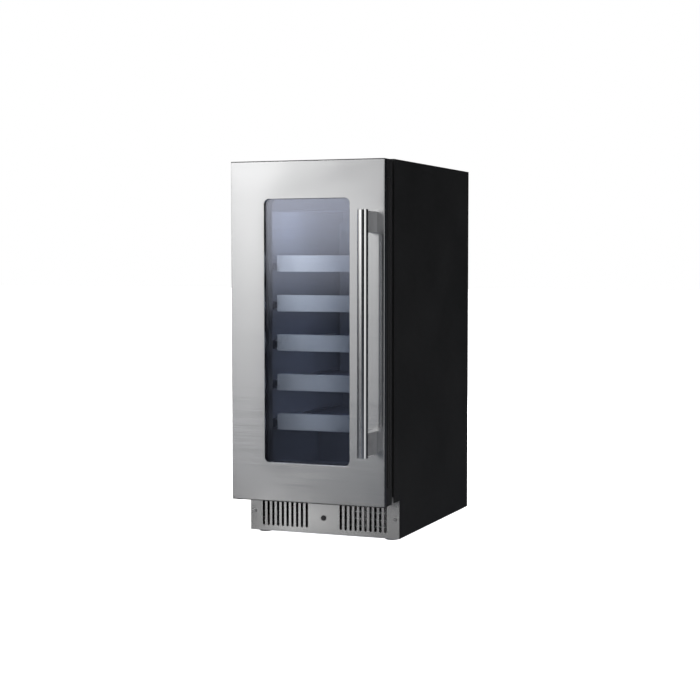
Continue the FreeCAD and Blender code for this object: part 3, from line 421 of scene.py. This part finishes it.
def make_floor_card():
    """A lit card on the floor in front, which only mirrors see: it brightens the kick plate. Its
    light is a band that leaves the plate at the angle of the mirrored view."""
    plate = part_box("kick_plate")[0].y
    near, far, left, right = plate - 0.012, plate - 0.40, -0.65, 0.35
    mesh = bpy.data.meshes.new("floor_card")
    mesh.from_pydata([(left, far, 0.001), (right, far, 0.001), (right, near, 0.001), (left, near, 0.001)],
                     [], [(0, 1, 2, 3)])
    card = bpy.data.objects.new("floor_card", mesh)
    bpy.context.scene.collection.objects.link(card)
    s = Shader("floor_card", (0, 0, 0), 0.0, 1.0)
    spot = s.node("ShaderNodeSeparateXYZ", Vector=s.place())
    lean = math.tan(math.radians(24.7))
    ahead = s.math("SUBTRACT", spot.outputs["Y"], plate)
    across = s.math("SUBTRACT", spot.outputs["X"], s.math("MULTIPLY", ahead, lean))
    rise = s.spread(across, 0.0, 0.74, -0.19, -0.09)
    fall = s.spread(across, 0.0, 0.60, -0.07, 0.15)
    away = s.spread(spot.outputs["Y"], 1.45, 0.5, plate - 0.40, plate - 0.02)
    s.set(s.main, **{"Emission Color": (1, 1, 1, 1),
                     "Emission Strength": s.math("MULTIPLY", s.math("SUBTRACT", rise, fall), away)})
    mesh.materials.append(s.material)
    for ray in ("camera", "diffuse", "transmission", "volume_scatter", "shadow"):
        setattr(card, "visible_" + ray, False)


def make_world():
    """A white studio. What mirrors see of it: a large soft box at the front left that ends just under
    the horizon, a tall strip light on the right, a lit panel at the rear, a bright ceiling, a floor
    that glows further down, a faint haze along the horizon, and dark cloth elsewhere. Directions
    are given in degrees: 0 is straight ahead of the door, and positive is to the right and up."""
    world = bpy.data.worlds.new("studio")
    bpy.context.scene.world = world
    world.use_nodes = True
    tree = world.node_tree
    tree.nodes.clear()

    def node(kind, **values):
        made = tree.nodes.new(kind)
        for key, value in values.items():
            if key not in made.inputs:
                setattr(made, key, value)
            elif isinstance(value, bpy.types.NodeSocket):
                tree.links.new(value, made.inputs[key])
            else:
                made.inputs[key].default_value = value
        return made

    def calc(operation, a, b=0.0):
        made = node("ShaderNodeMath", operation=operation)
        for socket, value in zip(made.inputs, (a, b)):
            if isinstance(value, bpy.types.NodeSocket):
                tree.links.new(value, socket)
            else:
                socket.default_value = value
        return made.outputs[0]

    def profile(degrees, *stops):
        """A smooth curve through (degrees, level) stops."""
        total = stops[0][1]
        for (start, low), (end, high) in zip(stops, stops[1:]):
            made = node("ShaderNodeMapRange", interpolation_type="SMOOTHSTEP", Value=degrees)
            spans = {"From Min": start, "From Max": end, "To Min": 0.0, "To Max": high - low}
            for key, number in spans.items():
                made.inputs[key].default_value = number
            total = calc("ADD", made.outputs["Result"], total)
        return total

    where = node("ShaderNodeTexCoord")
    x, y, z = node("ShaderNodeSeparateXYZ", Vector=where.outputs["Generated"]).outputs
    azimuth = calc("MULTIPLY", calc("ARCTAN2", x, calc("MULTIPLY", y, -1.0)), math.degrees(1))
    height = calc("MULTIPLY", calc("ARCSINE", z), math.degrees(1))

    box_across = profile(azimuth, (-118, 0.0), (-95, 0.15), (-77, 0.2), (-60, 0.55), (-48, 0.62),
                         (-34, 0.8), (-26.5, 1.0), (-24, 0.78), (-21.5, 0.66), (-19, 0.54),
                         (-12, 0.3), (4, 0.2), (10, 0.0))
    box_up = profile(height, (-2.6, 0.0), (3.2, 2.2), (5, 3.9), (7.5, 3.9), (11.5, 1.2), (24, 0.5),
                     (60, 1.0))
    strip_across = profile(azimuth, (52, 0.0), (58, 1.6), (74, 1.6), (82, 1.1), (94, 1.1), (101, 0.0))
    strip_up = profile(height, (-25, 0.0), (-8, 0.55), (5, 1.0))
    rear_across = profile(azimuth, (-160, 0.0), (-148, 0.7), (-130, 0.7), (-118, 0.0))
    rear_up = profile(height, (8, 0.0), (25, 1.0))
    # black cloth hangs between the box and the strip light
    cloth = profile(azimuth, (4, 1.0), (12, 0.3), (50, 0.3), (56, 1.0))
    ceiling = calc("MULTIPLY", profile(height, (30, 0.0), (70, 0.9)), cloth)
    light = ceiling
    for across, up in ((box_across, box_up), (strip_across, strip_up), (rear_across, rear_up)):
        light = calc("ADD", light, calc("MULTIPLY", across, up))
    boxes = node("ShaderNodeBackground", Color=(1, 1, 1, 1), Strength=light)
    haze_up = profile(height, (-15, 0.06), (-4, 0.07), (3, 0.02))
    haze_across = profile(azimuth, (-27, 0.75), (-20, 1.25), (2, 1.0), (11, 0.08), (54, 0.08), (60, 0.4))
    floor_across = profile(azimuth, (-60, 2.2), (-33, 2.0), (-28, 1.0), (-16, 1.0), (-8, 2.0),
                           (50, 2.0), (100, 1.0), (115, 0.45))
    floor_up = profile(height, (-32, 0.36), (-20, 0.24), (-14, 0.12), (-10, 0.0))
    floor_glow = calc("MULTIPLY", floor_up, floor_across)
    ground = node("ShaderNodeBackground", Color=(0.80, 0.86, 1.0, 1),
                  Strength=calc("ADD", calc("MULTIPLY", haze_up, haze_across), floor_glow))
    lit = node("ShaderNodeAddShader")
    tree.links.new(boxes.outputs[0], lit.inputs[0])
    tree.links.new(ground.outputs[0], lit.inputs[1])
    white = node("ShaderNodeBackground", Color=(1, 1, 1, 1), Strength=1.0)
    path = node("ShaderNodeLightPath")
    mix = node("ShaderNodeMixShader")
    out = node("ShaderNodeOutputWorld")
    tree.links.new(path.outputs["Is Camera Ray"], mix.inputs[0])
    tree.links.new(lit.outputs[0], mix.inputs[1])
    tree.links.new(white.outputs[0], mix.inputs[2])
    tree.links.new(mix.outputs[0], out.inputs["Surface"])


def area_light(name, place, target, width, height, power, color=(1, 1, 1)):
    """A lamp that faces its target. It lights what is matt and isn't seen in anything shiny."""
    data = bpy.data.lights.new(name, "AREA")
    data.color = color
    data.shape = "RECTANGLE"
    data.size = width
    data.size_y = height
    data.energy = power
    light = bpy.data.objects.new(name, data)
    light.location = place
    light.rotation_euler = (Vector(target) - Vector(place)).to_track_quat("-Z", "Y").to_euler()
    light.visible_glossy = False
    light.visible_camera = False
    bpy.context.scene.collection.objects.link(light)
    return light


COOL_WHITE = (0.78, 0.88, 1.0)
COOL_BLUE = (0.80, 0.86, 1.0)
DEEP_BLUE = (0.74, 0.8, 1.0)
LEFT_WALL = -0.139          # the liner's left wall
BRACKET_MIDDLE = 0.727      # height of the upper bracket's middle


def light_studio():
    """The two large lights, one in front and one behind."""
    area_light("key", (-1.6, -2.4, 2.6), (0, 0, 0.45), 1.6, 1.6, 60)
    area_light("rear_fill", (-0.6, 3.2, 1.6), (0, 0.35, 0.45), 1.6, 1.6, 60)


def light_inside():
    """Dim lights that show the shelf fronts and the liner through four coated glass faces."""
    behind_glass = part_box("inner_glass")[1].y + 6 * MM
    area_light("window_fill", (-0.05, behind_glass, 0.48), (-0.08, 0, 0.48), 0.14, 0.58, 0.62)
    area_light("window_fill_top", (-0.08, behind_glass, 0.64), (-0.11, 0, 0.62), 0.1, 0.3, 0.5)
    strip_low, strip_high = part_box("light_strip")
    strip_y = ((strip_low + strip_high) / 2).y
    area_light("cabinet_light", (0, strip_y, strip_low.z - 2 * MM), (0, strip_y + 0.12, 0.3),
               strip_high.x - strip_low.x, 0.012, 0.3, COOL_WHITE)
    behind_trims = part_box("shelf_5_trim")[1].y + 12 * MM
    area_light("bay_fill", (0.01, behind_trims + 0.07, 0.73), (LEFT_WALL, behind_trims + 0.05, 0.73),
               0.12, 0.09, 1.8, COOL_BLUE)
    area_light("side_fill", (0.12, 0.0, 0.44), (LEFT_WALL, -0.03, 0.44), 0.14, 0.38, 4.5, DEEP_BLUE)


def light_bracket():
    """A small light that only the handle's brackets see, beside the upper one."""
    bracket = Vector((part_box("handle_brackets")[1].x, DOOR_FACE - 0.03, BRACKET_MIDDLE))
    light = area_light("bracket_light", bracket + Vector((0.12, 0.06, 0.05)), bracket, 0.05, 0.05, 0.2)
    light.data.use_shadow = False
    only_brackets = bpy.data.collections.new("lit_brackets")
    only_brackets.objects.link(NODES["handle_brackets"])
    light.light_linking.receiver_collection = only_brackets


make_camera()
make_floor()
make_floor_card()
make_world()
light_studio()
light_inside()
light_bracket()
bpy.context.scene.view_settings.view_transform = "Standard"
